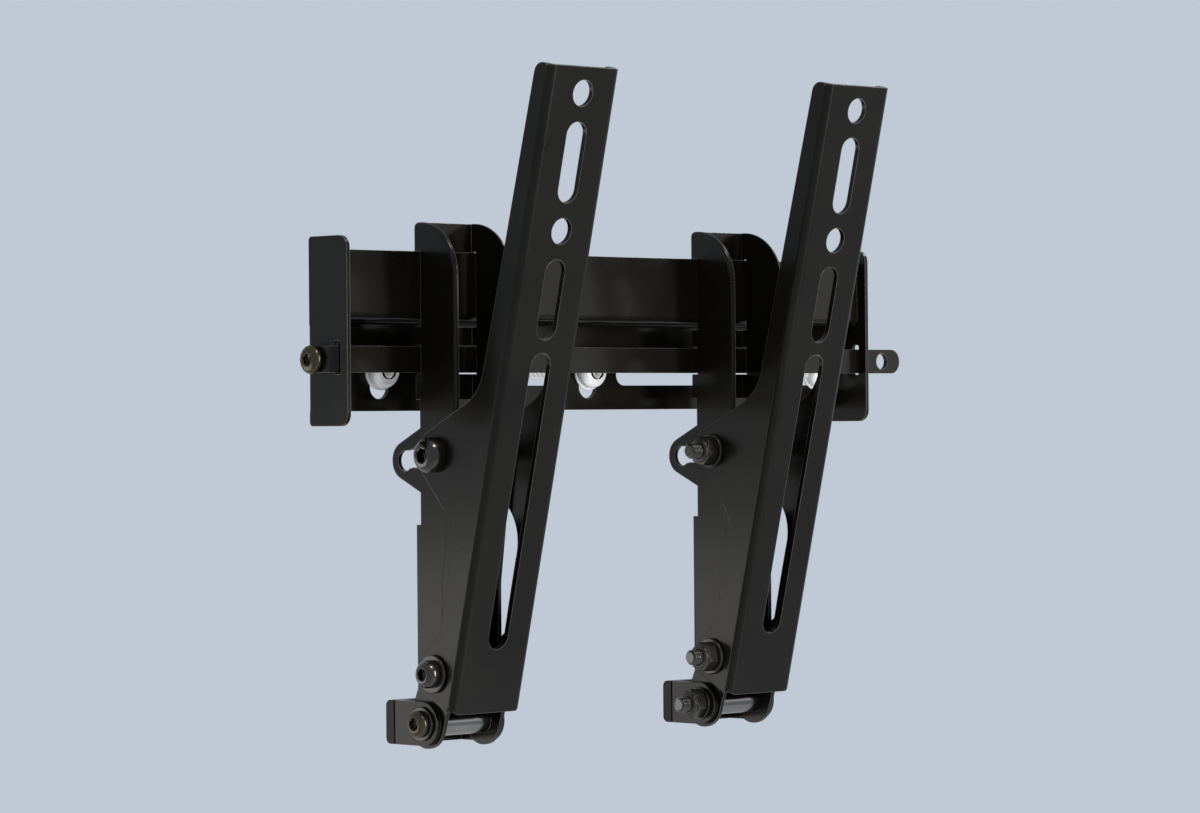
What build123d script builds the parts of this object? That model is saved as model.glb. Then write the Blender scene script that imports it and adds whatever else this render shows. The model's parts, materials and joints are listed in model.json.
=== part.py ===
from build123d import *
import os
from math import cos, radians, sin

# A tilting wall bracket for a television: a folded wall rail, two hook brackets that hang on it,
# a locking bar that keeps them there, and a slotted arm tilting on each hook bracket.
# Millimetres and degrees. X runs along the wall, Z is up, the wall is the plane Y = 0 and the
# bracket stands out from it towards -Y. Depths and reaches are measured out from the wall.

os.makedirs("parts", exist_ok=True)

# Wall plate: a rail folded from one sheet, with a tab at each end
plate_width = 276.0
plate_sheet = 1.6
plate_low = -28.9
rail_bottom = 4.1
rail_top = 29.2
rail_depth = 18.0
rail_bend = 1.2
rail_end_gap = 0.4
tab_height = 68.5
tab_depth = 22.0
tab_front_corner = 4.5
tab_rear_corner = 1.5
tab_setback = 1.1
tab_bend = 0.4
tab_fold_clear = 1.6

# Slots through the wall plate, and the screws in them
upright_slot_places = (-105.2, 0.6)
upright_slot_width = 9.0
upright_slot_low = -24.5
upright_slot_high = -5.0
long_slot_width = 8.4
long_slot_level = -15.4
left_long_slot = (-84.0, -16.0)
right_long_slot_start = 16.0
right_long_slot_inset = 5.0
wall_screw_level = -14.2
end_screw_inset = 10.2
wall_screw_dia = 6.0
wall_screw_head_dia = 12.6
wall_screw_head_height = 4.4
wall_screw_length = 38.0
wall_screw_point = 5.0
wall_screw_tip_dia = 0.8
wall_washer_dia = 14.4
wall_washer_thickness = 1.2
wall_washer_hole = 6.6

# Locking bar, its screw and the slots it passes through
bar_height = 9.6
bar_thickness = 2.0
bar_front_depth = 17.5
bar_level = -10.2
bar_right_reach = 23.5
bar_bend = 1.5
bar_side_gap = 0.2
bar_leg_end = 1.3
padlock_hole_dia = 6.6
padlock_hole_inset = 10.5
tab_slot_clear_high = 1.8
tab_slot_clear_low = 0.6
tab_slot_clear_side = 0.7
tab_slot_corner = 0.8
bar_screw_dia = 6.0
bar_screw_head_dia = 10.4
bar_screw_head_height = 3.4
bar_screw_depth = 6.2
bar_hole_clearance = 0.2
thread_clearance = 0.06
thread_collar_dia = 8.6
thread_collar_height = 2.2

# Hook brackets: U channels that hang on the rail and carry the arms
left_hook_place = -85.0
right_hook_place = 58.5
hook_width = 29.0
hook_sheet = 1.6
hook_rear_depth = 14.4
hook_front_reach = 22.8
hook_top = 39.9
hook_top_radius = 20.0
hook_rear_corner = 2.0
hook_bend = 1.4
rail_gap = 0.3
rail_lift = 2.3
tongue_end = 9.0
bar_slot_front = 3.8
bar_slot_clearance = 0.5
web_gap_high = -24.8
web_gap_low = -70.5
web_gap_reach = 3.2
hook_taper_high = -34.0
hook_taper_low = -92.0
hook_neck_reach = 14.6
hook_taper_radius = 24.0
hook_web_end = -131.0

# Tilt: the arm turns about the pivot bolt, and the tilt bolt drops into lobes of an arc slot
pivot_reach = 12.4
pivot_level = -124.4
tilt_radius = 79.3
tilt_bolt_lean = 12.85
tilt_step = 4.5
tilt_steps = 3
arc_slot_width = 6.7
arc_lobe_dia = 7.7
ear_radius = 7.0
ear_root_reach = 4.4
ear_root_high = -36.3
ear_root_low = -57.6
ear_root_radius = 1.5
pivot_lug_radius = 8.2

# Arms: slotted U channels that the television is screwed to
arm_side_gap = 0.5
arm_sheet = 2.0
arm_bend = 1.0
arm_length = 238.0
arm_foot_length = 12.0
arm_face_distance = 12.6
arm_flange_top = 8.6
arm_flange_middle = 10.9
arm_flange_middle_rise = 13.0
arm_neck_flange = 12.9
arm_neck_high = 40.0
arm_neck_low = 27.0
arm_lug_radius = 9.0
arm_ear_radius = 9.2
arm_ear_blend = 18.0
arm_top_corner = 4.0
arm_face_top_corner = 1.5
arm_face_bottom_corner = 3.5
arm_ear_high = 112.0
arm_ear_low = 46.7
screw_hole_dia = 9.6
screw_hole_spacing = 50.0
screw_hole_from_top = 9.5
short_slot_length = 29.4
long_arm_slot_low = 12.0
arm_slot_web = 4.8

# Foot: a U bracket with a rubber pad that props the hook bracket off the wall
foot_bolt_reach = 5.4
foot_level = -142.8
foot_lug_radius = 9.2
foot_height = 16.1
foot_sheet = 2.0
foot_bend = 1.0
foot_side_gap = 0.2
foot_pad_thickness = 4.3
foot_pad_corner = 2.2
foot_spacer_dia = 9.7

# Bolts, nuts and washers
bolt_dia = 6.0
bolt_clearance = 0.15
running_clearance = 0.05
bolt_end_chamfer = 0.6
seat_gap = 0.1
socket_flats = 4.0
wide_socket_flats = 5.0
head_rim_share = 0.3
head_crown_share = 0.45
socket_depth_share = 0.6
pivot_head_dia = 10.2
pivot_head_height = 4.6
pivot_low_head_height = 2.0
foot_head_dia = 9.8
foot_head_height = 3.2
foot_low_head_height = 1.1
tilt_head_dia = 13.2
tilt_head_height = 6.2
nut_flats = 10.0
lock_nut_height = 6.0
thin_nut_height = 2.6
nut_collar_height = 1.2
nut_collar_inset = 0.6
press_nut_height = 1.1
tilt_stud = 5.0
long_stud = 4.4
flush_end = -0.2
pivot_washer_dia = 14.0
pivot_washer_thickness = 1.4
foot_washer_dia = 12.6
foot_washer_thickness = 1.0
tilt_washer_dia = 13.0
tilt_washer_thickness = 1.5
edge_break = 0.3

# Values that follow from the sizes above
plate_end = plate_width / 2
tab_inside = plate_end - plate_sheet
right_long_slot = (right_long_slot_start, plate_end - right_long_slot_inset)
end_screw_place = plate_end - end_screw_inset
bar_low = bar_level - bar_height / 2
bar_high = bar_level + bar_height / 2
bar_screw_y = -(bar_leg_end + bar_height / 2)
bar_screw_seat = plate_end + bar_side_gap + bar_thickness
max_tilt = tilt_step * tilt_steps
pivot_y = -(hook_rear_depth + pivot_reach)
foot_bolt_y = -(hook_rear_depth + foot_bolt_reach)
hook_half = hook_width / 2
arm_half = hook_half + arm_side_gap + arm_sheet
arm_width = 2 * arm_half
foot_half = hook_half + foot_side_gap + foot_sheet
arm_top = arm_length - arm_foot_length
top_hole_height = arm_top - screw_hole_from_top
short_slot_heights = (top_hole_height - screw_hole_spacing / 2, top_hole_height - 1.5 * screw_hole_spacing)
long_arm_slot_high = short_slot_heights[1] - short_slot_length / 2 - arm_slot_web
tilt_bolt_depth = tilt_radius * sin(radians(tilt_bolt_lean))
tilt_bolt_height = tilt_radius * cos(radians(tilt_bolt_lean))


def behind(reach):
    """The Y of a point that lies this far in front of the hook brackets' rear face."""
    return -(hook_rear_depth + reach)


def round_corner(sketch, point, radius):
    """Rounds the corner of a sketch that lies nearest to the point."""
    corner = sketch.vertices().sort_by_distance(Vector(*point))[0]
    fillet(corner, radius)


def disc(place, radius):
    """A circle's edge, to be wrapped in an outline."""
    return Edge.make_circle(radius, Plane(origin=(place[0], place[1], 0)))


def is_near(value, target):
    return abs(value - target) < 0.01


def save(piece, name):
    piece.part.label = name
    export_step(piece.part, f"parts/{name}.step")


def section_plane(plane):
    """The plane through a fastener's axis, with the axis upwards."""
    return Plane(origin=plane.origin, x_dir=plane.x_dir, z_dir=-plane.y_dir)


def button_bolt(plane, head, dia, length, point, tip_dia):
    """A round-headed bolt whose head stands on the plane, outwards."""
    head_dia, head_height, flats = head
    rim = head_rim_share * head_height
    crown = head_crown_share * head_dia / 2
    with BuildPart() as bolt:
        with BuildSketch(section_plane(plane)):
            with BuildLine():
                Polyline(
                    (crown, head_height),
                    (0, head_height),
                    (0, -length),
                    (tip_dia / 2, -length),
                    (dia / 2, point - length),
                    (dia / 2, 0),
                    (head_dia / 2, 0),
                    (head_dia / 2, rim),
                )
                EllipticalCenterArc((crown, rim), head_dia / 2 - crown, head_height - rim, arc_size=90)
            make_face()
        revolve(axis=Axis(plane.origin, plane.z_dir))
        with BuildSketch(plane.offset(head_height)):
            RegularPolygon(flats / 2, 6, major_radius=False)
        extrude(amount=-socket_depth_share * head_height, mode=Mode.SUBTRACT)
    return bolt


def machine_bolt(plane, head, dia, length):
    return button_bolt(plane, head, dia, length, bolt_end_chamfer, dia - 2 * bolt_end_chamfer)


def collared_nut(plane, height):
    """A hexagon nut with a round collar, standing on the plane, outwards."""
    with BuildPart() as nut:
        with BuildSketch(plane):
            RegularPolygon(nut_flats / 2, 6, major_radius=False)
        extrude(amount=height - nut_collar_height)
        with BuildSketch(plane.offset(height - nut_collar_height)):
            Circle(nut_flats / 2 - nut_collar_inset)
        extrude(amount=nut_collar_height)
        with BuildSketch(plane):
            Circle(bolt_dia / 2 + running_clearance)
        extrude(amount=height, mode=Mode.SUBTRACT)
    return nut


def washers(planes, dia, hole_dia, thickness):
    """Flat washers, one standing on each plane, outwards."""
    with BuildPart() as rings:
        for plane in planes:
            with BuildSketch(plane):
                Circle(dia / 2)
                Circle(hole_dia / 2, mode=Mode.SUBTRACT)
            extrude(amount=thickness)
        rims = rings.edges().filter_by(GeomType.CIRCLE).filter_by(lambda e: e.radius > (dia + hole_dia) / 4)
        chamfer(rims, edge_break)
    return rings


def make_wall_plate():
    fold_depth = 2 * (plate_sheet + tab_bend)
    fold_top = rail_bottom - tab_fold_clear
    fold_height = fold_top - plate_low
    with BuildPart() as plate:
        with BuildSketch(Plane.YZ.offset(-tab_inside + rail_end_gap)) as rail:
            with BuildLine():
                Polyline(
                    (0, fold_top),
                    (-plate_sheet, fold_top),
                    (-plate_sheet, rail_bottom),
                    (-rail_depth, rail_bottom),
                    (-rail_depth, rail_top),
                    (plate_sheet - rail_depth, rail_top),
                    (plate_sheet - rail_depth, rail_bottom + plate_sheet),
                    (0, rail_bottom + plate_sheet),
                    close=True,
                )
            make_face()
            round_corner(rail, (-plate_sheet, rail_bottom), rail_bend)
            round_corner(rail, (plate_sheet - rail_depth, rail_bottom + plate_sheet), rail_bend)
            round_corner(rail, (-rail_depth, rail_bottom), rail_bend + plate_sheet)
            round_corner(rail, (0, rail_bottom + plate_sheet), rail_bend + plate_sheet)
        extrude(amount=2 * (tab_inside - rail_end_gap))
        with BuildSketch(Plane.XY.offset(plate_low)) as fold:
            with BuildLine():
                Polyline(
                    (-plate_end, -fold_depth),
                    (-plate_end, 0),
                    (plate_end, 0),
                    (plate_end, -fold_depth),
                    (tab_inside, -fold_depth),
                    (tab_inside, -plate_sheet),
                    (-tab_inside, -plate_sheet),
                    (-tab_inside, -fold_depth),
                    close=True,
                )
            make_face()
            for side in (-1, 1):
                round_corner(fold, (side * plate_end, 0), tab_bend + plate_sheet)
                round_corner(fold, (side * tab_inside, -plate_sheet), tab_bend)
        extrude(amount=fold_height)
        for side in (-1, 1):
            with BuildSketch(Plane.YZ.offset(side * tab_inside)) as tab:
                with Locations((-(tab_depth + tab_setback) / 2, 0)):
                    Rectangle(tab_depth - tab_setback, tab_height)
                for end in (-1, 1):
                    round_corner(tab, (-tab_depth, end * tab_height / 2), tab_front_corner)
                    round_corner(tab, (-tab_setback, end * tab_height / 2), tab_rear_corner)
                with Locations((0, plate_low + fold_height / 2)):
                    Rectangle(2 * fold_depth, fold_height, mode=Mode.SUBTRACT)
            extrude(amount=side * plate_sheet)
        with BuildSketch(Plane.XZ):
            upright_length = upright_slot_high - upright_slot_low
            for place in upright_slot_places:
                with Locations((place, upright_slot_low + upright_length / 2)):
                    SlotOverall(upright_length, upright_slot_width, rotation=90)
            for start, end in (left_long_slot, right_long_slot):
                with Locations(((start + end) / 2, long_slot_level)):
                    SlotOverall(end - start, long_slot_width)
        extrude(amount=plate_sheet, mode=Mode.SUBTRACT)
        slot_low = bar_low - tab_slot_clear_low
        slot_high = bar_high + tab_slot_clear_high
        slot_width = bar_thickness + 2 * tab_slot_clear_side
        with BuildSketch(Plane.YZ) as tab_slots:
            with Locations((bar_thickness / 2 - bar_front_depth, (slot_low + slot_high) / 2)):
                RectangleRounded(slot_width, slot_high - slot_low, tab_slot_corner)
        extrude(amount=plate_end, both=True, mode=Mode.SUBTRACT)
        collar_plane = Plane(origin=(-plate_end, bar_screw_y, bar_level), x_dir=(0, 1, 0), z_dir=(1, 0, 0))
        with BuildSketch(collar_plane):
            Circle(thread_collar_dia / 2)
        extrude(amount=plate_sheet + thread_collar_height)
        with BuildSketch(collar_plane):
            Circle(bar_screw_dia / 2 + thread_clearance)
        extrude(amount=plate_sheet + thread_collar_height, mode=Mode.SUBTRACT)
    return plate


def wall_screw_planes(depth):
    """One plane for each wall screw, this far out from the wall and facing the room."""
    places = (*upright_slot_places, end_screw_place)
    return [Plane(origin=(x, -depth, wall_screw_level), x_dir=(1, 0, 0), z_dir=(0, -1, 0)) for x in places]


def make_wall_screws():
    head = (wall_screw_head_dia, wall_screw_head_height, wide_socket_flats)
    shank = (wall_screw_dia, wall_screw_length, wall_screw_point, wall_screw_tip_dia)
    with BuildPart() as screws:
        for plane in wall_screw_planes(plate_sheet + wall_washer_thickness):
            add(button_bolt(plane, head, *shank).part)
    return screws


def make_locking_bar():
    front = -bar_front_depth
    rear = front + bar_thickness
    right_end = plate_end + bar_right_reach
    leg_inside = -(plate_end + bar_side_gap)
    leg_outside = leg_inside - bar_thickness
    end_round = bar_height / 2 - 0.01
    with BuildPart() as bar:
        with BuildSketch(Plane.XY.offset(bar_low)) as path:
            with BuildLine():
                Polyline(
                    (right_end, front),
                    (right_end, rear),
                    (leg_inside, rear),
                    (leg_inside, -bar_leg_end),
                    (leg_outside, -bar_leg_end),
                    (leg_outside, front),
                    close=True,
                )
            make_face()
            round_corner(path, (leg_inside, rear), bar_bend)
            round_corner(path, (leg_outside, front), bar_bend + bar_thickness)
        extrude(amount=bar_height)
        right_corners = bar.edges().filter_by(Axis.Y).group_by(Axis.X)[-1]
        fillet(right_corners, end_round)
        leg_corners = bar.edges().filter_by(Axis.X).group_by(Axis.Y)[-1]
        fillet(leg_corners, end_round)
        with BuildSketch(Plane.XZ.offset(bar_front_depth)):
            with Locations((right_end - padlock_hole_inset, bar_level)):
                Circle(padlock_hole_dia / 2)
        extrude(amount=-bar_thickness, mode=Mode.SUBTRACT)
        with BuildSketch(Plane.YZ.offset(leg_outside)):
            with Locations((bar_screw_y, bar_level)):
                Circle(bar_screw_dia / 2 + bar_hole_clearance)
        extrude(amount=bar_thickness, mode=Mode.SUBTRACT)
    return bar


def make_hook_bracket(place):
    left_face = place - hook_half
    inside_width = hook_width - 2 * hook_sheet
    top_of_slot = rail_top + rail_gap
    notch_low = rail_bottom - rail_lift
    notch_front = rail_depth + rail_gap
    far_front = behind(2 * hook_front_reach)
    with BuildPart() as bracket:
        with BuildSketch(Plane.YZ.offset(left_face)) as flange:
            with BuildLine():
                Polyline(
                    (behind(0), hook_top),
                    (behind(hook_front_reach), hook_top),
                    (behind(hook_front_reach), hook_taper_high),
                    (behind(hook_neck_reach), hook_taper_low),
                    (behind(hook_neck_reach), pivot_level),
                    (behind(0), foot_level),
                    (behind(0), web_gap_low),
                    (behind(web_gap_reach), web_gap_low),
                    (behind(web_gap_reach), web_gap_high),
                    (behind(0), web_gap_high),
                    close=True,
                )
            make_face()
            round_corner(flange, (behind(hook_front_reach), hook_top), hook_top_radius)
            round_corner(flange, (behind(0), hook_top), hook_rear_corner)
            round_corner(flange, (behind(hook_neck_reach), hook_taper_low), hook_taper_radius)
            make_hull(
                [
                    disc((pivot_y, pivot_level), pivot_lug_radius),
                    disc((foot_bolt_y, foot_level), foot_lug_radius),
                ]
            )
            make_hull(
                [
                    disc(lobe_place(tilt_steps), ear_radius),
                    disc((behind(ear_root_reach), ear_root_high), ear_root_radius),
                    disc((behind(ear_root_reach), ear_root_low), ear_root_radius),
                ]
            )
        extrude(amount=hook_width)
        inside_plane = Plane.YZ.offset(left_face + hook_sheet)
        with BuildSketch(inside_plane):
            with Locations(((behind(hook_sheet) + far_front) / 2, (hook_top + foot_level) / 2)):
                Rectangle(behind(hook_sheet) - far_front, 2 * (hook_top - foot_level))
            with Locations((0, (web_gap_high + web_gap_low) / 2)):
                Rectangle(-2 * far_front, web_gap_high - web_gap_low)
            with Locations((0, hook_web_end + foot_level)):
                Rectangle(-2 * far_front, -2 * foot_level)
        extrude(amount=inside_width, mode=Mode.SUBTRACT)
        with BuildSketch(Plane.YZ.offset(left_face)) as cuts:
            with Locations(((behind(hook_sheet) - notch_front) / 2, (notch_low + top_of_slot) / 2)):
                Rectangle(notch_front + behind(hook_sheet), top_of_slot - notch_low)
            with Locations((behind(0), (notch_low + tongue_end) / 2)):
                Rectangle(2 * hook_sheet + 0.02, tongue_end - notch_low)
            with Locations((behind(0), bar_level)):
                Rectangle(2 * bar_slot_front, bar_height + 2 * bar_slot_clearance)
        extrude(amount=hook_width, mode=Mode.SUBTRACT)
        with BuildSketch(Plane.YZ.offset(left_face)):
            arc_start = 90 - lobe_angle(tilt_steps)
            pivot = (pivot_y, pivot_level)
            with BuildLine():
                outer = CenterArc(pivot, tilt_radius + arc_slot_width / 2, arc_start, max_tilt)
                inner = CenterArc(pivot, tilt_radius - arc_slot_width / 2, arc_start, max_tilt)
                Line(outer @ 0, inner @ 0)
                Line(outer @ 1, inner @ 1)
            make_face()
            with Locations(*[lobe_place(step) for step in range(tilt_steps + 1)]):
                Circle(arc_lobe_dia / 2)
            with Locations(pivot, (foot_bolt_y, foot_level)):
                Circle(bolt_dia / 2 + bolt_clearance)
        extrude(amount=hook_width, mode=Mode.SUBTRACT)
        bends = bracket.edges().filter_by(Axis.Z).filter_by(
            lambda e: is_near(e.center().Y, -hook_rear_depth)
            and is_near(abs(e.center().X - place), hook_half)
        )
        fillet(bends, hook_bend)
    return bracket


def lobe_angle(step):
    """How far behind the upright through the pivot a lobe lies, from the rest lobe rearwards."""
    return tilt_bolt_lean - max_tilt + step * tilt_step


def lobe_place(step):
    angle = radians(lobe_angle(step))
    return (pivot_y + tilt_radius * sin(angle), pivot_level + tilt_radius * cos(angle))


def arm_side_plane(x):
    """The arm's side plane: the pivot is its origin, its x runs to the wall and its y along the arm."""
    tilt = radians(max_tilt)
    return Plane(origin=(x, pivot_y, pivot_level), x_dir=(0, cos(tilt), sin(tilt)), z_dir=(1, 0, 0))


def arm_face_plane(place):
    """The arm's front face, with its origin level with the pivot."""
    tilt = radians(max_tilt)
    origin = arm_side_plane(place).from_local_coords(Vector(-arm_face_distance, 0, 0))
    return Plane(origin=origin, x_dir=(1, 0, 0), z_dir=(0, -cos(tilt), -sin(tilt)))


def make_tilt_arm(place):
    face = -arm_face_distance
    with BuildPart() as arm:
        with BuildSketch(arm_side_plane(place - arm_half)) as flange:
            with BuildLine():
                Polyline(
                    (face, -arm_foot_length),
                    (face, arm_top),
                    (face + arm_flange_top, arm_top),
                    (face + arm_flange_middle, arm_ear_high + arm_flange_middle_rise),
                    (face + arm_neck_flange, arm_neck_high),
                    (face + arm_neck_flange, arm_neck_low),
                    (0, 0),
                    (0, -arm_lug_radius),
                    (face + arm_sheet + arm_bend, -arm_foot_length),
                    close=True,
                )
            make_face()
            make_hull(
                [
                    disc((tilt_bolt_depth, tilt_bolt_height), arm_ear_radius),
                    disc((face + arm_sheet, arm_ear_high), edge_break),
                    disc((face + arm_sheet, arm_ear_low), edge_break),
                ]
            )
            make_hull([disc((0, 0), arm_lug_radius), disc((face + arm_sheet, arm_neck_low), edge_break)])
            round_corner(flange, (face + arm_flange_top, arm_top), arm_top_corner)
            for width, height in ((arm_flange_middle, arm_ear_high), (arm_neck_flange, arm_ear_low)):
                round_corner(flange, (face + width, (height + tilt_bolt_height) / 2), arm_ear_blend)
        extrude(amount=arm_width)
        lengthwise = arm.edges().filter_by(lambda e: abs(e.length - arm_length) < arm_bend)
        face_plane = arm_face_plane(place)
        front_edges = lengthwise.filter_by(lambda e: is_near(face_plane.to_local_coords(e.center()).Z, 0))
        fillet(front_edges, arm_bend + arm_sheet)
        with BuildSketch(arm_side_plane(place - arm_half + arm_sheet)):
            with Locations((face + arm_sheet + arm_width, arm_top / 2)):
                Rectangle(2 * arm_width, 2 * arm_length)
        extrude(amount=arm_width - 2 * arm_sheet, mode=Mode.SUBTRACT)
        lengthwise = arm.edges().filter_by(lambda e: abs(e.length - arm_length) < arm_bend)
        inner_edges = lengthwise.filter_by(
            lambda e: is_near(face_plane.to_local_coords(e.center()).Z, -arm_sheet)
            and is_near(abs(e.center().X - place), arm_half - arm_sheet)
        )
        fillet(inner_edges, arm_bend)
        with BuildSketch(face_plane) as rim:
            with Locations((0, (arm_top - arm_foot_length) / 2)):
                Rectangle(2 * arm_width, arm_length + arm_width)
                Rectangle(arm_width, arm_length, mode=Mode.SUBTRACT)
            for side in (-1, 1):
                round_corner(rim, (side * arm_half, arm_top), arm_face_top_corner)
                round_corner(rim, (side * arm_half, -arm_foot_length), arm_face_bottom_corner)
        extrude(amount=-arm_sheet - arm_bend, mode=Mode.SUBTRACT)
        with BuildSketch(face_plane):
            with Locations((0, top_hole_height), (0, top_hole_height - screw_hole_spacing)):
                Circle(screw_hole_dia / 2)
            with Locations(*[(0, height) for height in short_slot_heights]):
                SlotOverall(short_slot_length, screw_hole_dia, rotation=90)
            with Locations((0, (long_arm_slot_low + long_arm_slot_high) / 2)):
                SlotOverall(long_arm_slot_high - long_arm_slot_low, screw_hole_dia, rotation=90)
        extrude(amount=-arm_sheet, mode=Mode.SUBTRACT)
        with BuildSketch(arm_side_plane(place - arm_half)):
            Circle(bolt_dia / 2 + running_clearance)
            with Locations((tilt_bolt_depth, tilt_bolt_height)):
                Circle(bolt_dia / 2 + bolt_clearance)
        extrude(amount=arm_width, mode=Mode.SUBTRACT)
    return arm


def make_foot_bracket(place):
    left_face = place - foot_half
    with BuildPart() as foot:
        with BuildSketch(Plane.YZ.offset(left_face)):
            with Locations(((foot_bolt_y - foot_pad_thickness) / 2, foot_level)):
                Rectangle(-foot_bolt_y - foot_pad_thickness, foot_height)
            with Locations((foot_bolt_y, foot_level)):
                Circle(foot_height / 2)
        extrude(amount=2 * foot_half)
        with BuildSketch(Plane.YZ.offset(left_face + foot_sheet)):
            with Locations((-foot_pad_thickness - foot_sheet, foot_level)):
                Rectangle(-3 * foot_bolt_y, foot_height, align=(Align.MAX, Align.CENTER))
        extrude(amount=2 * (hook_half + foot_side_gap), mode=Mode.SUBTRACT)
        with BuildSketch(Plane.YZ.offset(left_face)):
            with Locations((foot_bolt_y, foot_level)):
                Circle(bolt_dia / 2 + running_clearance)
        extrude(amount=2 * foot_half, mode=Mode.SUBTRACT)
        bends = foot.edges().filter_by(Axis.Z).filter_by(lambda e: is_near(e.center().Y, -foot_pad_thickness))
        fillet(bends, foot_bend)
    return foot


def make_foot_pad(place):
    with BuildPart() as pad:
        with BuildSketch(Plane.YZ.offset(place - foot_half)) as side:
            with Locations((-foot_pad_thickness / 2, foot_level)):
                Rectangle(foot_pad_thickness, foot_height)
            for end in (-1, 1):
                round_corner(side, (0, foot_level + end * foot_height / 2), foot_pad_corner)
        extrude(amount=2 * foot_half)
    return pad


def make_foot_spacer(place):
    with BuildPart() as spacer:
        with BuildSketch(Plane.YZ.offset(place - hook_half + hook_sheet)):
            with Locations((foot_bolt_y, foot_level)):
                Circle(foot_spacer_dia / 2)
                Circle(bolt_dia / 2 + bolt_clearance, mode=Mode.SUBTRACT)
        extrude(amount=hook_width - 2 * hook_sheet)
    return spacer


def stack_plane(place, facing, distance, centre):
    """A plane across a bolt's axis, this far from the arm's middle on the side it faces."""
    return Plane(origin=(place + facing * distance, *centre), x_dir=(0, 1, 0), z_dir=(facing, 0, 0))


def make_bolted_joint(name, place, facing, washer_sides, joint, head, nut):
    """A bolt through a joint, with washers and a nut. facing is the side that the head is on."""
    centre, half_span, washer_dia, washer_thickness = joint
    nut_height, stud = nut
    head_seat = half_span + (washer_thickness if facing in washer_sides else 0)
    nut_seat = half_span + (washer_thickness if -facing in washer_sides else 0)
    length = head_seat + nut_seat + nut_height + stud
    save(machine_bolt(stack_plane(place, facing, head_seat, centre), head, bolt_dia, length), f"{name}_bolt")
    nut_plane = stack_plane(place, -facing, nut_seat, centre)
    if nut_height > press_nut_height:
        save(collared_nut(nut_plane, nut_height), f"{name}_nut")
    else:
        save(washers([nut_plane], foot_head_dia, bolt_dia + 2 * running_clearance, nut_height), f"{name}_nut")
    washer_planes = [stack_plane(place, washer_side, half_span, centre) for washer_side in washer_sides]
    rings = washers(washer_planes, washer_dia, bolt_dia + 2 * bolt_clearance, washer_thickness)
    save(rings, f"{name}_washers" if len(washer_sides) > 1 else f"{name}_washer")


save(make_wall_plate(), "wall_plate")
save(make_wall_screws(), "wall_screws")
wall_rings = washers(wall_screw_planes(plate_sheet), wall_washer_dia, wall_washer_hole, wall_washer_thickness)
save(wall_rings, "wall_washers")
save(make_locking_bar(), "locking_bar")
bar_screw_plane = Plane(origin=(-bar_screw_seat, bar_screw_y, bar_level), x_dir=(0, 1, 0), z_dir=(-1, 0, 0))
bar_screw_head = (bar_screw_head_dia, bar_screw_head_height, socket_flats)
save(machine_bolt(bar_screw_plane, bar_screw_head, bar_screw_dia, bar_screw_depth), "bar_screw")

for side, place in (("left", left_hook_place), ("right", right_hook_place)):
    save(make_hook_bracket(place), f"{side}_hook_bracket")
    save(make_tilt_arm(place), f"{side}_tilt_arm")
    save(make_foot_bracket(place), f"{side}_foot_bracket")
    save(make_foot_pad(place), f"{side}_foot_pad")
    save(make_foot_spacer(place), f"{side}_foot_spacer")

pivot_joint = ((pivot_y, pivot_level), arm_half + seat_gap, pivot_washer_dia, pivot_washer_thickness)
foot_joint = ((foot_bolt_y, foot_level), foot_half + seat_gap, foot_washer_dia, foot_washer_thickness)
tilt_joint = (lobe_place(0), arm_half, tilt_washer_dia, tilt_washer_thickness)
pivot_head = (pivot_head_dia, pivot_head_height, socket_flats)
low_pivot_head = (pivot_head_dia, pivot_low_head_height, socket_flats)
foot_head = (foot_head_dia, foot_head_height, socket_flats)
low_foot_head = (foot_head_dia, foot_low_head_height, socket_flats)
tilt_head = (tilt_head_dia, tilt_head_height, wide_socket_flats)
lock_nut = (lock_nut_height, long_stud)
tilt_nut = (lock_nut_height, tilt_stud)
thin_nut = (thin_nut_height, flush_end)
press_nut = (press_nut_height, flush_end)

# Heads face left (-1) on the left bracket and right (1) on the right one
make_bolted_joint("left_pivot", left_hook_place, -1, (-1, 1), pivot_joint, pivot_head, thin_nut)
make_bolted_joint("left_foot", left_hook_place, -1, (-1,), foot_joint, foot_head, press_nut)
make_bolted_joint("left_tilt", left_hook_place, -1, (1,), tilt_joint, tilt_head, thin_nut)
make_bolted_joint("right_pivot", right_hook_place, 1, (-1, 1), pivot_joint, low_pivot_head, lock_nut)
make_bolted_joint("right_foot", right_hook_place, 1, (-1,), foot_joint, low_foot_head, lock_nut)
make_bolted_joint("right_tilt", right_hook_place, 1, (-1,), tilt_joint, tilt_head, tilt_nut)
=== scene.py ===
import json
import math

import bpy
from mathutils import Matrix, Vector


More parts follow.
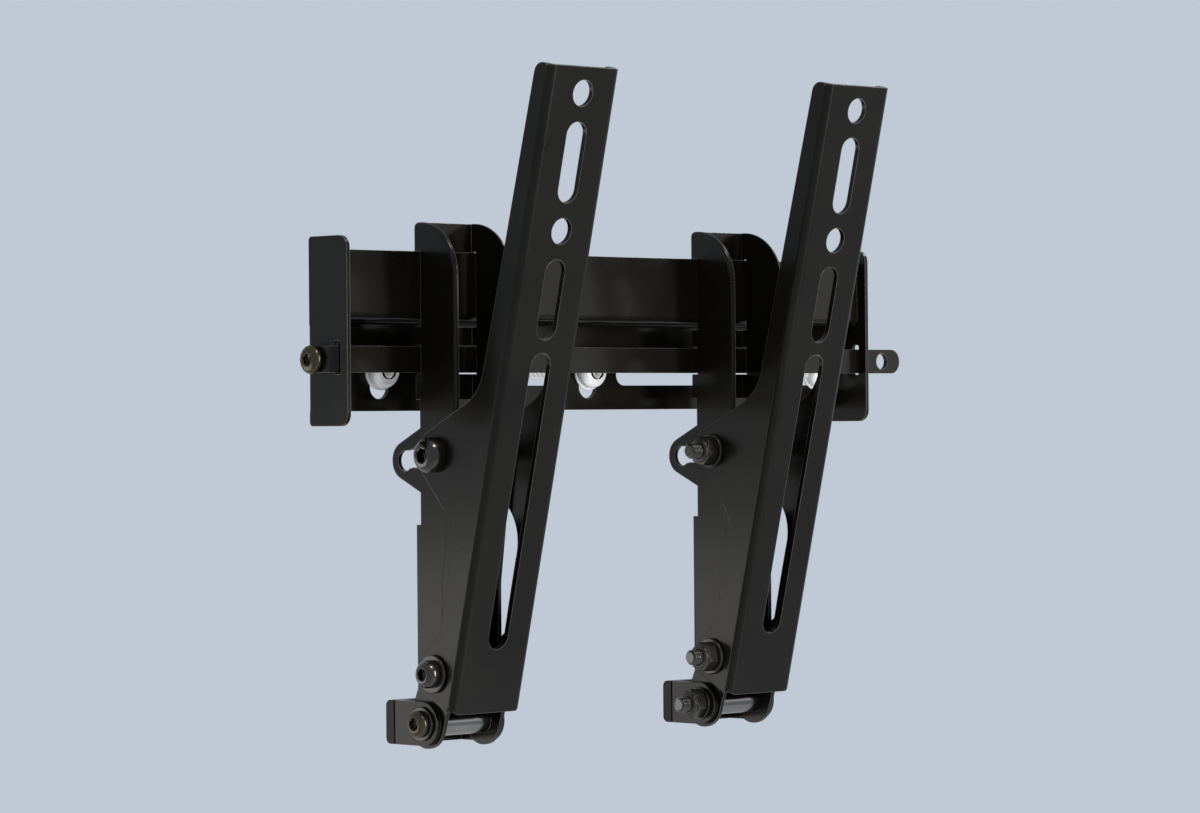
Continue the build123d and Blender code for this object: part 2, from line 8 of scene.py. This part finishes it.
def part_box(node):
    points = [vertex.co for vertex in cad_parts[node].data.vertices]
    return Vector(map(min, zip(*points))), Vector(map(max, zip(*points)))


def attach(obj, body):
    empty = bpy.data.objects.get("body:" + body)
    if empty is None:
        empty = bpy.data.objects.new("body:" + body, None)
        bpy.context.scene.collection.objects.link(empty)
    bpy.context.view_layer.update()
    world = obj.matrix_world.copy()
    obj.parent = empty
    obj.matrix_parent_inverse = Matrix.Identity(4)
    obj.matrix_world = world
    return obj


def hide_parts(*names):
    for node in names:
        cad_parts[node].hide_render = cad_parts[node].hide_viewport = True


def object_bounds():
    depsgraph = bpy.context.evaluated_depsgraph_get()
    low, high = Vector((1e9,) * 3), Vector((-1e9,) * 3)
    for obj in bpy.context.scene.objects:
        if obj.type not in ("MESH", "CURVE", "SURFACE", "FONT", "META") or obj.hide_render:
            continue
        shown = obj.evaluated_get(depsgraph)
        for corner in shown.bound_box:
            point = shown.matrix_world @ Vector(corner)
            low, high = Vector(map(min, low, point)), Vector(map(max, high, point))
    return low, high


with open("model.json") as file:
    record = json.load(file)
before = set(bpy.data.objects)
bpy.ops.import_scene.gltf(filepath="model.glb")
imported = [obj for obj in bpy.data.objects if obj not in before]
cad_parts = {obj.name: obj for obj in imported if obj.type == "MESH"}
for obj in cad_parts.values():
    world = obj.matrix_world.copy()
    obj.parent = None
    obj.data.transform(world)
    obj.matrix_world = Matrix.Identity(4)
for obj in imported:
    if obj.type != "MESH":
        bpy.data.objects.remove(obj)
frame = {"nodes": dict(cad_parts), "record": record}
cad_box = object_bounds()

# Camera: where the photograph was taken from, in metres and degrees, with lens and sensor in millimetres
camera_eye = (-1.13089, -1.17809, -0.0314)
camera_heading = 44.05
camera_pitch = -0.13
camera_roll = -0.47
camera_lens = 127.7
camera_sensor = 36.0
camera_reach = 50.0

# Shanks and threads, in metres, with the angle of a sharp edge in degrees
round_steps = 48
sharp_angle = 32
axis_radius = 0.0002
bolt_radius = 0.003
plain_shank = 0.0004
thread_length = 0.013
thread_pitch = 0.001
thread_depth = 0.00042
thread_flank = 1.35
thread_rows = 8
point_length = 0.0006
point_step = 0.0005
wood_thread_length = 0.027
wood_thread_pitch = 0.0024
wood_thread_depth = 0.0008
wood_point_length = 0.005
wood_point_neck = 0.0032
wood_point_radius = 0.0018
same_place = 1e-5

# Nuts with a round collar, in metres
nut_flats = 0.010
nut_collar = 0.0012
nut_clearance = 0.00006
nut_shoulder_share = 0.965
nut_chamfer_slope = 0.55
nut_foot_chamfer = 0.0004
nut_top_chamfer = 0.0003
collar_step = 0.0002

# Bolt heads, in metres, and their dome and socket as shares of the head's height and the socket's width
dome_steps = 10
dome_top_share = 0.45
head_rim_share = 0.3
head_edge = 0.0002
socket_floor_share = 0.36
socket_cone_share = 0.8
socket_cone_top_share = 0.38
socket_wall_foot_share = 0.44
socket_mouth_share = 0.62
socket_rim_drop = 0.00015
pivot_head = {"radius": 0.0051, "height": 0.0046, "socket": 0.004}
low_pivot_head = {"radius": 0.0051, "height": 0.002, "socket": 0.004}
foot_head = {"radius": 0.0049, "height": 0.0032, "socket": 0.004}
low_foot_head = {"radius": 0.0049, "height": 0.0011, "socket": 0.004}
tilt_head = {"radius": 0.0066, "height": 0.0062, "socket": 0.005}
bar_head = {"radius": 0.0052, "height": 0.0028, "socket": 0.004}
wall_head = {"radius": 0.0063, "height": 0.0044, "socket": 0.005}

# Hook brackets: the strip that the solids lack on the cheek towards -X, as reach from the rear face and level
hook_rear_depth = 0.0144
hook_sheet = 0.0016
cheek_inset = 0.00003
cheek_outline = (
    (0.0170, -0.057),
    (0.0135, -0.088),
    (0.0120, -0.116),
    (0.0150, -0.116),
    (0.0215, -0.096),
    (0.0215, -0.057),
)

# Colours and finishes
backdrop = (0.527, 0.584, 0.665, 1.0)
warm_gloss = (1.0, 0.95, 0.86, 1.0)
coat_roughness = 0.15
mottling = 0.15
mottle_scale = 38.0
mottle_detail = 4.0
mottle_roughness = 0.55
mottle_low = 0.3
mottle_high = 0.7
grain_detail = 3.0
grain_roughness = 0.6
grain_height = 0.0002
edge_samples = 8
# Painted edge highlight: the share of the lighter edge colour at the sharpest edges, and the normal agreement
# over which it fades out
painted_highlight_share = 0.85
corner_sharp = 0.72
corner_flat = 0.97
world_level = 0.42
sky_light = (1.0, 0.98, 0.94, 1.0)
lamp_light = (1.0, 0.98, 0.95)

# Floor
floor_drop = 0.6
floor_radius = 1.4
floor_steps = 96
floor_roughness = 0.8
floor_color = (0.76, 0.84, 0.95, 1.0)


def node_of(tree, kind, place, **values):
    """A shader node, with its inputs and settings set by name."""
    node = tree.nodes.new(kind)
    node.location = place
    for name, value in values.items():
        if name in node.inputs:
            node.inputs[name].default_value = value
        else:
            setattr(node, name, value)
    return node


def ramp_between(tree, place, source, low, high, start=0.0, end=1.0):
    """Maps a value that runs from start to end onto one that runs from low to high."""
    node = tree.nodes.new("ShaderNodeMapRange")
    node.location = place
    node.inputs["From Min"].default_value = start
    node.inputs["From Max"].default_value = end
    node.inputs["To Min"].default_value = low
    node.inputs["To Max"].default_value = high
    tree.links.new(source, node.inputs["Value"])
    return node.outputs["Result"]


def new_material(name):
    material = bpy.data.materials.new(name)
    material.use_nodes = True
    tree = material.node_tree
    tree.nodes.clear()
    output = node_of(tree, "ShaderNodeOutputMaterial", (900, 0))
    shader = node_of(tree, "ShaderNodeBsdfPrincipled", (600, 0))
    tree.links.new(shader.outputs["BSDF"], output.inputs["Surface"])
    return material, tree, shader


def surface(name, color, painted_edge_highlight, roughness, grain, bump, edge, metallic=0.0, level=0.5, coat=0.0):
    """A finish with fine grain, slow mottling, softened edges and a painted highlight: its edges and corners
    take a lighter colour in place of glints.
    """
    material, tree, shader = new_material(name)
    where = node_of(tree, "ShaderNodeTexCoord", (-1100, 0))
    fine = node_of(tree, "ShaderNodeTexNoise", (-850, 200), Scale=grain, Detail=grain_detail,
                   Roughness=grain_roughness)
    slow = node_of(tree, "ShaderNodeTexNoise", (-850, -50), Scale=mottle_scale, Detail=mottle_detail,
                   Roughness=mottle_roughness)
    for noise in (fine, slow):
        tree.links.new(where.outputs["Object"], noise.inputs["Vector"])
    soft_edge = node_of(tree, "ShaderNodeBevel", (-850, -300), samples=edge_samples, Radius=edge)
    shape = node_of(tree, "ShaderNodeNewGeometry", (-850, -500))
    bend = node_of(tree, "ShaderNodeVectorMath", (-600, -400), operation="DOT_PRODUCT")
    tree.links.new(soft_edge.outputs["Normal"], bend.inputs[0])
    tree.links.new(shape.outputs["Normal"], bend.inputs[1])
    # Painted highlight mask: where the softened normal turns away from the face, at edges and corners
    painted_highlight_mask = ramp_between(tree, (-400, -400), bend.outputs["Value"], painted_highlight_share, 0.0,
                          corner_sharp, corner_flat)
    mottle = ramp_between(tree, (-400, 50), slow.outputs["Fac"], 0.0, 1.0, mottle_low, mottle_high)
    tint = node_of(tree, "ShaderNodeMix", (-150, 150), data_type="RGBA")
    tint.inputs[6].default_value = (*[c * (1 - mottling) for c in color], 1.0)
    tint.inputs[7].default_value = (*[c * (1 + mottling) for c in color], 1.0)
    tree.links.new(mottle, tint.inputs["Factor"])
    # Painted highlight: the lighter edge colour is mixed into the base colour at edges and corners
    painted_highlight_mix = node_of(tree, "ShaderNodeMix", (100, 150), data_type="RGBA")
    painted_highlight_mix.inputs[7].default_value = (*painted_edge_highlight, 1.0)
    tree.links.new(painted_highlight_mask, painted_highlight_mix.inputs["Factor"])
    tree.links.new(tint.outputs[2], painted_highlight_mix.inputs[6])
    tree.links.new(painted_highlight_mix.outputs[2], shader.inputs["Base Color"])
    low_rough = roughness * (1 - mottling)
    high_rough = roughness * (1 + mottling)
    slow_share = slow.outputs["Fac"]
    rough = ramp_between(tree, (100, -150), slow_share, low_rough, high_rough, mottle_low, mottle_high)
    tree.links.new(rough, shader.inputs["Roughness"])
    relief = node_of(tree, "ShaderNodeBump", (350, -300), Strength=bump, Distance=grain_height)
    tree.links.new(fine.outputs["Fac"], relief.inputs["Height"])
    tree.links.new(soft_edge.outputs["Normal"], relief.inputs["Normal"])
    tree.links.new(relief.outputs["Normal"], shader.inputs["Normal"])
    tree.links.new(soft_edge.outputs["Normal"], shader.inputs["Coat Normal"])
    shader.inputs["Metallic"].default_value = metallic
    shader.inputs["Specular IOR Level"].default_value = level
    shader.inputs["Specular Tint"].default_value = warm_gloss
    shader.inputs["Coat Weight"].default_value = coat
    shader.inputs["Coat Roughness"].default_value = coat_roughness
    shader.inputs["Coat Tint"].default_value = warm_gloss
    return material


# Each finish gives its colour, then the lighter colour of its painted edge highlight
finishes = {
    "powder_coat": surface(
        "powder_coat", (0.0052, 0.0048, 0.0036), (0.2, 0.198, 0.19),
        roughness=0.29, grain=900.0, bump=0.1, edge=0.0005, level=0.1, coat=0.2),
    "black_bolt": surface(
        "black_bolt", (0.012, 0.0112, 0.009), (0.08, 0.076, 0.066),
        roughness=0.22, grain=1500.0, bump=0.08, edge=0.00025, metallic=0.4, coat=0.6),
    "black_nut": surface(
        "black_nut", (0.05, 0.047, 0.041), (0.16, 0.15, 0.135),
        roughness=0.27, grain=1500.0, bump=0.12, edge=0.0002, metallic=0.8),
    "black_washer": surface(
        "black_washer", (0.009, 0.0086, 0.0074), (0.03, 0.029, 0.026),
        roughness=0.34, grain=1500.0, bump=0.12, edge=0.0002, metallic=0.1, level=0.2, coat=0.5),
    "bright_zinc": surface(
        "bright_zinc", (0.93, 0.93, 0.92), (0.95, 0.95, 0.94),
        roughness=0.3, grain=1100.0, bump=0.1, edge=0.0003, metallic=0.15),
    "olive_zinc": surface(
        "olive_zinc", (0.05, 0.043, 0.027), (0.2, 0.18, 0.12),
        roughness=0.24, grain=1300.0, bump=0.1, edge=0.00025, metallic=0.7, level=0.6),
    "spacer_steel": surface(
        "spacer_steel", (0.16, 0.158, 0.15), (0.4, 0.39, 0.37),
        roughness=0.2, grain=1300.0, bump=0.05, edge=0.0003, metallic=1.0),
    "pad_rubber": surface(
        "pad_rubber", (0.009, 0.0088, 0.0082), (0.014, 0.0138, 0.013),
        roughness=0.6, grain=700.0, bump=0.35, edge=0.0008, level=0.3),
}


def hexagon(flats, turn):
    """How far a hexagon's side is from its centre in the direction of the turn."""
    leaning = (turn + math.pi / 6) % (math.pi / 3) - math.pi / 6
    return flats / 2 / math.cos(leaning)


def turned_piece(name, rows, origin, axis, body, slot, ring=False):
    """A piece made of closed rows around an axis. Each row gives radius and height for every direction."""
    along = Vector(axis).normalized()
    across = along.orthogonal().normalized()
    up = along.cross(across)
    points = []
    faces = []
    for row in rows:
        for step in range(round_steps):
            turn = 2 * math.pi * step / round_steps
            radius, height = row(turn)
            offset = across * (radius * math.cos(turn)) + up * (radius * math.sin(turn)) + along * height
            points.append(Vector(origin) + offset)
    count = len(rows)
    for row in range(count if ring else count - 1):
        below = row * round_steps
        above = (row + 1) % count * round_steps
        for step in range(round_steps):
            following = (step + 1) % round_steps
            faces.append((below + step, below + following, above + following, above + step))
    if not ring:
        faces.append(tuple(reversed(range(round_steps))))
        faces.append(tuple(range((count - 1) * round_steps, count * round_steps)))
    mesh = bpy.data.meshes.new(name)
    mesh.from_pydata(points, [], faces)
    mesh.validate()
    mesh.update()
    piece = bpy.data.objects.new(name, mesh)
    bpy.context.scene.collection.objects.link(piece)
    bpy.context.view_layer.objects.active = piece
    piece.select_set(True)
    bpy.ops.object.mode_set(mode="EDIT")
    bpy.ops.mesh.select_all(action="SELECT")
    bpy.ops.mesh.normals_make_consistent(inside=False)
    bpy.ops.object.mode_set(mode="OBJECT")
    piece.select_set(False)
    mesh.shade_smooth()
    mesh.set_sharp_from_angle(angle=math.radians(sharp_angle))
    mesh.materials.append(finishes[slot])
    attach(piece, body)
    return piece


def level_row(radius, height):
    return lambda turn: (radius, height)


def hexagon_row(flats, height):
    return lambda turn: (hexagon(flats, turn), height)


def thread_row(height, pitch, depth, fade):
    """A row across a thread whose crest winds along the shank."""
    def row(turn):
        phase = (height / pitch - turn / (2 * math.pi)) % 1.0
        valley = 1.0 - abs(2 * phase - 1.0)
        return bolt_radius - depth * fade * min(1.0, thread_flank * valley), height
    return row


def bolt_rows(head, length, threaded, pitch, depth):
    """Rows of a round-headed bolt from the bottom of its socket to its tip. Its seat is at height 0."""
    radius = head["radius"]
    height = head["height"]
    socket = head["socket"]
    rim = head_rim_share * height
    rows = [
        level_row(axis_radius, socket_floor_share * height),
        hexagon_row(socket_cone_share * socket, socket_cone_top_share * height),
        hexagon_row(socket, socket_wall_foot_share * height),
        hexagon_row(socket, height - socket_rim_drop),
        level_row(socket_mouth_share * socket, height),
    ]
    for step in range(dome_steps + 1):
        turn = math.pi / 2 * step / dome_steps
        reach = dome_top_share + (1 - dome_top_share) * math.sin(turn)
        rows.append(level_row(reach * radius, rim + (height - rim) * math.cos(turn)))
    rows.append(level_row(radius, head_edge))
    rows.append(level_row(radius - head_edge, 0.0))
    rows.append(level_row(bolt_radius, 0.0))
    start = threaded - length
    rows.append(level_row(bolt_radius, start))
    run = threaded - point_length
    count = int(run / pitch * thread_rows)
    for step in range(count + 1):
        fade = min(1.0, step / thread_rows)
        rows.append(thread_row(start - run * step / count, pitch, depth, fade))
    rows.append(level_row(bolt_radius - depth - point_step, -length))
    return rows


def nut_rows(height):
    """Rows of a chamfered hexagon nut with a round collar, closed around its bore."""
    bore = bolt_radius + nut_clearance
    flat_top = height - nut_collar
    shoulder = nut_shoulder_share * nut_flats / 2

    def chamfered(base, sign):
        def row(turn):
            reach = hexagon(nut_flats, turn)
            return reach, base - sign * nut_chamfer_slope * max(0.0, reach - shoulder)
        return row

    return [
        level_row(bore + nut_foot_chamfer, 0.0),
        level_row(shoulder, 0.0),
        chamfered(0.0, -1),
        chamfered(flat_top, 1),
        level_row(shoulder, flat_top),
        level_row(shoulder - collar_step, flat_top),
        level_row(shoulder - 1.5 * collar_step, flat_top + 0.5 * nut_collar),
        level_row(shoulder - 4 * collar_step, height - collar_step),
        level_row(shoulder - 6 * collar_step, height),
        level_row(bore + nut_top_chamfer, height),
        level_row(bore, height - nut_top_chamfer),
        level_row(bore, nut_foot_chamfer),
    ]


def middle(low, high):
    return [(a + b) / 2 for a, b in zip(low, high)]


def make_bolt(node, body, slot, head, facing):
    """Replaces a CAD bolt that lies along X. facing is the side of its head."""
    low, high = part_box(node)
    centre = middle(low, high)
    total = high[0] - low[0]
    outer = high[0] if facing > 0 else low[0]
    origin = (outer - facing * head["height"], centre[1], centre[2])
    length = total - head["height"]
    threaded = min(thread_length, length - plain_shank)
    rows = bolt_rows(head, length, threaded, thread_pitch, thread_depth)
    piece = turned_piece(f"{node}_threaded", rows, origin, (facing, 0, 0), body, slot)
    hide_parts(node)


def make_nut(node, body, facing):
    """Replaces a CAD nut that lies along X. facing is the side of its collar."""
    low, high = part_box(node)
    centre = middle(low, high)
    seat = low[0] if facing > 0 else high[0]
    rows = nut_rows(high[0] - low[0])
    origin = (seat, centre[1], centre[2])
    piece = turned_piece(f"{node}_chamfered", rows, origin, (facing, 0, 0), body, "black_nut", ring=True)
    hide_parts(node)


def make_wall_screws():
    """Three coach screws with wood threads. The first replaces the CAD node that holds all three."""
    node = frame["nodes"]["wall_screws"]
    low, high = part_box("wall_screws")
    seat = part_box("wall_washers")[0][1]
    length = high[1] - seat
    threaded_end = length - wood_point_length
    level = (low[2] + high[2]) / 2
    places = sorted({round(v.co.x, 4) for v in node.data.vertices if abs(v.co.y - high[1]) < same_place})
    for number, place in enumerate(places):
        rows = bolt_rows(wall_head, threaded_end, wood_thread_length, wood_thread_pitch, wood_thread_depth)
        rows[-1] = level_row(wood_point_radius, wood_point_neck - length)
        rows.append(level_row(axis_radius, -length))
        origin = (place, seat, level)
        name = f"wall_screw_{number + 1}"
        turned_piece(name, rows, origin, (0, -1, 0), "wall", "bright_zinc")
    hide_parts("wall_screws")


def make_cheek(node, body):
    """Fills the strip of a hook bracket's cheek towards -X, within the sheet's thickness."""
    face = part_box(node)[0][0]
    points = []
    for depth in (cheek_inset, hook_sheet - cheek_inset):
        points.extend((face + depth, -(hook_rear_depth + reach), level) for reach, level in cheek_outline)
    count = len(cheek_outline)
    faces = [tuple(range(count)), tuple(reversed(range(count, 2 * count)))]
    for corner in range(count):
        following = (corner + 1) % count
        faces.append((corner, count + corner, count + following, following))
    mesh = bpy.data.meshes.new(f"{node}_cheek")
    mesh.from_pydata(points, [], faces)
    mesh.materials.append(finishes["powder_coat"])
    cheek = bpy.data.objects.new(f"{node}_cheek", mesh)
    bpy.context.scene.collection.objects.link(cheek)
    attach(cheek, body)


for name, node in frame["nodes"].items():
    slot_name = next(part["material_slot"] for part in frame["record"]["subparts"] if part["node"] == name)
    for index in range(len(node.material_slots)):
        node.material_slots[index].material = finishes[slot_name]

make_cheek("left_hook_bracket", "left_hook")
make_cheek("right_hook_bracket", "right_hook")
make_wall_screws()
make_bolt("bar_screw", "bar", "olive_zinc", bar_head, -1)
make_bolt("left_pivot_bolt", "left_hook", "black_bolt", pivot_head, -1)
make_bolt("left_foot_bolt", "left_hook", "olive_zinc", foot_head, -1)
make_bolt("left_tilt_bolt", "left_arm", "black_bolt", tilt_head, -1)
make_bolt("right_pivot_bolt", "right_hook", "black_bolt", low_pivot_head, 1)
make_bolt("right_foot_bolt", "right_hook", "black_bolt", low_foot_head, 1)
make_bolt("right_tilt_bolt", "right_arm", "black_bolt", tilt_head, 1)
make_nut("left_pivot_nut", "left_hook", 1)
make_nut("left_tilt_nut", "left_arm", 1)
make_nut("right_pivot_nut", "right_hook", -1)
make_nut("right_foot_nut", "right_hook", -1)
make_nut("right_tilt_nut", "right_arm", -1)

# Floor, well below the bracket and out of the photograph's frame
floor_material, _, floor_shader = new_material("floor")
floor_shader.inputs["Base Color"].default_value = floor_color
floor_shader.inputs["Roughness"].default_value = floor_roughness
floor_place = (0, 0, cad_box[0][2] - floor_drop)
bpy.ops.mesh.primitive_circle_add(
    vertices=floor_steps, radius=floor_radius, fill_type="NGON", location=floor_place)
floor = bpy.context.object
floor.name = "floor"
floor.data.materials.append(floor_material)

# World: the camera, gloss and glass see the pale backdrop, and the object is lit by a plain level
world = bpy.data.worlds.new("studio")
bpy.context.scene.world = world
world.use_nodes = True
sky = world.node_tree
sky.nodes.clear()
sky_output = node_of(sky, "ShaderNodeOutputWorld", (600, 0))
seen = node_of(sky, "ShaderNodeBackground", (200, 100), Color=backdrop, Strength=1.0)
lighting = node_of(sky, "ShaderNodeBackground", (200, -100), Color=sky_light, Strength=world_level)
rays = node_of(sky, "ShaderNodeLightPath", (-400, 200))
camera_or_gloss = node_of(sky, "ShaderNodeMath", (-200, 200), operation="MAXIMUM")
any_seen = node_of(sky, "ShaderNodeMath", (0, 200), operation="MAXIMUM")
choose = node_of(sky, "ShaderNodeMixShader", (400, 0))
sky.links.new(rays.outputs["Is Camera Ray"], camera_or_gloss.inputs[0])
sky.links.new(rays.outputs["Is Glossy Ray"], camera_or_gloss.inputs[1])
sky.links.new(camera_or_gloss.outputs[0], any_seen.inputs[0])
sky.links.new(rays.outputs["Is Transmission Ray"], any_seen.inputs[1])
sky.links.new(any_seen.outputs[0], choose.inputs["Fac"])
sky.links.new(lighting.outputs[0], choose.inputs[1])
sky.links.new(seen.outputs[0], choose.inputs[2])
sky.links.new(choose.outputs[0], sky_output.inputs["Surface"])


def add_softbox(name, place, target, size, radiance):
    """A rectangular lamp that gives this radiance whatever its size."""
    data = bpy.data.lights.new(name, "AREA")
    data.shape = "RECTANGLE"
    data.size = size[0]
    data.size_y = size[1]
    data.energy = radiance * math.pi * size[0] * size[1]
    data.color = lamp_light
    lamp = bpy.data.objects.new(name, data)
    lamp.location = place
    lamp.rotation_euler = (Vector(target) - Vector(place)).to_track_quat("-Z", "Y").to_euler()
    lamp.visible_camera = False
    bpy.context.scene.collection.objects.link(lamp)


add_softbox("front_strip", (0.3, -1.62, 0.15), (0, 0, 0), (0.1, 1.0), 66.0)
add_softbox("right_softbox", (1.35, -1.15, 0.2), (0, 0, 0), (1.4, 0.8), 0.9)
add_softbox("top_softbox", (-0.3, -0.75, 1.3), (0, 0, 0), (0.4, 0.25), 32.0)
add_softbox("top_right_softbox", (0.95, -0.2, 0.95), (0, 0, 0), (0.3, 0.3), 26.0)
add_softbox("low_left_panel", (-0.62, 0.55, -0.3), (0, 0, -0.12), (0.6, 0.4), 2.6)

# Camera
heading = math.radians(camera_heading)
pitch = math.radians(camera_pitch)
roll = math.radians(camera_roll)
forward = Vector((math.sin(heading) * math.cos(pitch), math.cos(heading) * math.cos(pitch), -math.sin(pitch)))
right = Vector((math.cos(heading), -math.sin(heading), 0))
upward = right.cross(forward)
turned_right = math.cos(roll) * right + math.sin(roll) * upward
turned_up = -math.sin(roll) * right + math.cos(roll) * upward
camera_data = bpy.data.cameras.new("camera")
camera_data.sensor_width = camera_sensor
camera_data.sensor_fit = "HORIZONTAL"
camera_data.lens = camera_lens
camera_data.clip_end = camera_reach
camera = bpy.data.objects.new("camera", camera_data)
bpy.context.scene.collection.objects.link(camera)
facing_matrix = Matrix((turned_right, turned_up, -forward)).transposed().to_4x4()
camera.matrix_world = Matrix.Translation(camera_eye) @ facing_matrix
bpy.context.scene.camera = camera

bpy.context.scene.view_settings.view_transform = "Standard"
